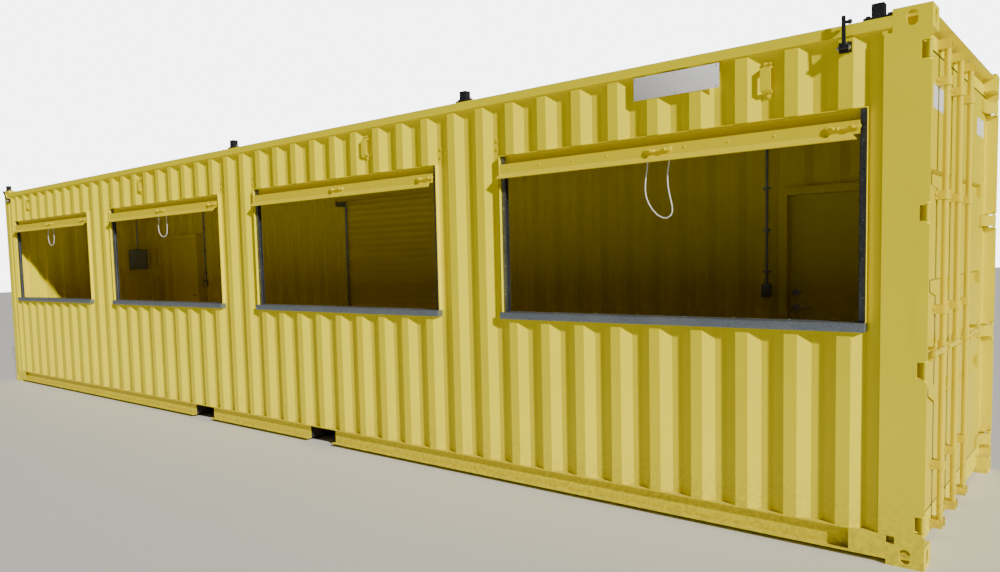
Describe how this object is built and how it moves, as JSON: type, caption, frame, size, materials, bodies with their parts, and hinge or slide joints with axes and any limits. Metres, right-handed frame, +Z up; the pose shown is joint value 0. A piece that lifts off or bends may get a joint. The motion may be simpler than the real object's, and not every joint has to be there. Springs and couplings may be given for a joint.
{
  "type": "shipping container cabin",
  "caption": "Yellow high-cube steel container fitted out as a serving stand, with shuttered windows, cargo doors at one end, service doors and a roll-up door behind.",
  "frame": {"origin": "on the ground below the middle of the container", "axes": "+X along the container towards the cargo doors, +Y from the front serving wall towards the back wall, +Z up"},
  "size_m": [12.192, 2.5771, 2.972],
  "materials": {
    "yellow_paint": "semi-gloss yellow container paint, a little chalky and dusty",
    "shutter_paint": "semi-gloss yellow baked paint on rolled steel slats",
    "door_paint": "semi-gloss yellow paint on flat steel",
    "galvanised_steel": "galvanised sheet with a faint spangle",
    "satin_metal": "satin nickel",
    "underside_paint": "matt dark underbody coating",
    "floor_plywood": "worn plywood floor boards",
    "white_rope": "laid white nylon rope",
    "black_paint": "satin black paint",
    "seal_rubber": "black door seal",
    "grey_enamel": "grey enamel electrical cabinet"
  },
  "bodies": {
    "root": {"lower_castings": "yellow_paint", "upper_castings": "yellow_paint", "door_end_posts": "yellow_paint", "blind_end_posts": "yellow_paint", "bottom_rails": "yellow_paint", "top_rails": "yellow_paint", "door_sill": "yellow_paint", "door_header": "yellow_paint", "blind_end_beams": "yellow_paint", "roof_sheet": "yellow_paint", "front_wall_lower": "yellow_paint", "front_wall_upper": "yellow_paint", "front_wall_piers": "yellow_paint", "back_wall_sheets": "yellow_paint", "back_wall_over_doors": "yellow_paint", "blind_end_wall": "yellow_paint", "window_frames": "yellow_paint", "wall_grips": "yellow_paint", "service_door_frames": "yellow_paint", "cam_keepers": "yellow_paint", "shutter_curtains": "shutter_paint", "shutter_bottom_bars": "shutter_paint", "back_shutter": "shutter_paint", "shutter_latches": "shutter_paint", "counters": "galvanised_steel", "shutter_guides": "galvanised_steel", "back_shutter_guides": "galvanised_steel", "conduits": "galvanised_steel", "cross_members": "underside_paint", "fork_pockets": "underside_paint", "floor_deck": "floor_plywood", "pull_rope_1": "white_rope", "pull_rope_2": "white_rope", "pull_rope_4": "white_rope", "roof_post_stubs": "black_paint", "arm_brackets": "black_paint", "electrical_panel": "grey_enamel"},
    "cargo_front": {"cargo_door_front": "yellow_paint", "cargo_seal_front": "seal_rubber", "rod_guides_front": "yellow_paint"},
    "cargo_back": {"cargo_door_back": "yellow_paint", "cargo_seal_back": "seal_rubber", "rod_guides_back": "yellow_paint"},
    "rod_1": {"lock_rod_1": "yellow_paint"},
    "rod_2": {"lock_rod_2": "yellow_paint"},
    "rod_3": {"lock_rod_3": "yellow_paint"},
    "service_east": {"service_door_east": "door_paint", "service_lock_east": "satin_metal"},
    "service_west": {"service_door_west": "door_paint", "service_lock_west": "satin_metal"}
  },
  "joints": [
    {"name": "cargo_front_hinge", "type": "hinge", "parent": "root", "child": "cargo_front", "pos_m": [6.082, -1.205, 1.469], "axis": [0, 0, -1], "range_deg": [0, 255]},
    {"name": "cargo_back_hinge", "type": "hinge", "parent": "root", "child": "cargo_back", "pos_m": [6.082, 1.205, 1.469], "axis": [0, 0, 1], "range_deg": [0, 255]},
    {"name": "rod_1_turn", "type": "hinge", "parent": "cargo_front", "child": "rod_1", "pos_m": [6.064, -0.605, 1.11], "axis": [0, 0, -1], "range_deg": [-100, 0]},
    {"name": "rod_2_turn", "type": "hinge", "parent": "cargo_front", "child": "rod_2", "pos_m": [6.064, -0.183, 1.11], "axis": [0, 0, -1], "range_deg": [-100, 0]},
    {"name": "rod_3_turn", "type": "hinge", "parent": "cargo_back", "child": "rod_3", "pos_m": [6.064, 0.183, 1.11], "axis": [0, 0, 1], "range_deg": [-100, 0]},
    {"name": "service_east_hinge", "type": "hinge", "parent": "root", "child": "service_east", "pos_m": [5.57, 1.23, 1.17], "axis": [0, 0, 1], "range_deg": [-110, 0]},
    {"name": "service_west_hinge", "type": "hinge", "parent": "root", "child": "service_west", "pos_m": [-5.57, 1.23, 1.17], "axis": [0, 0, -1], "range_deg": [-110, 0]}
  ]
}
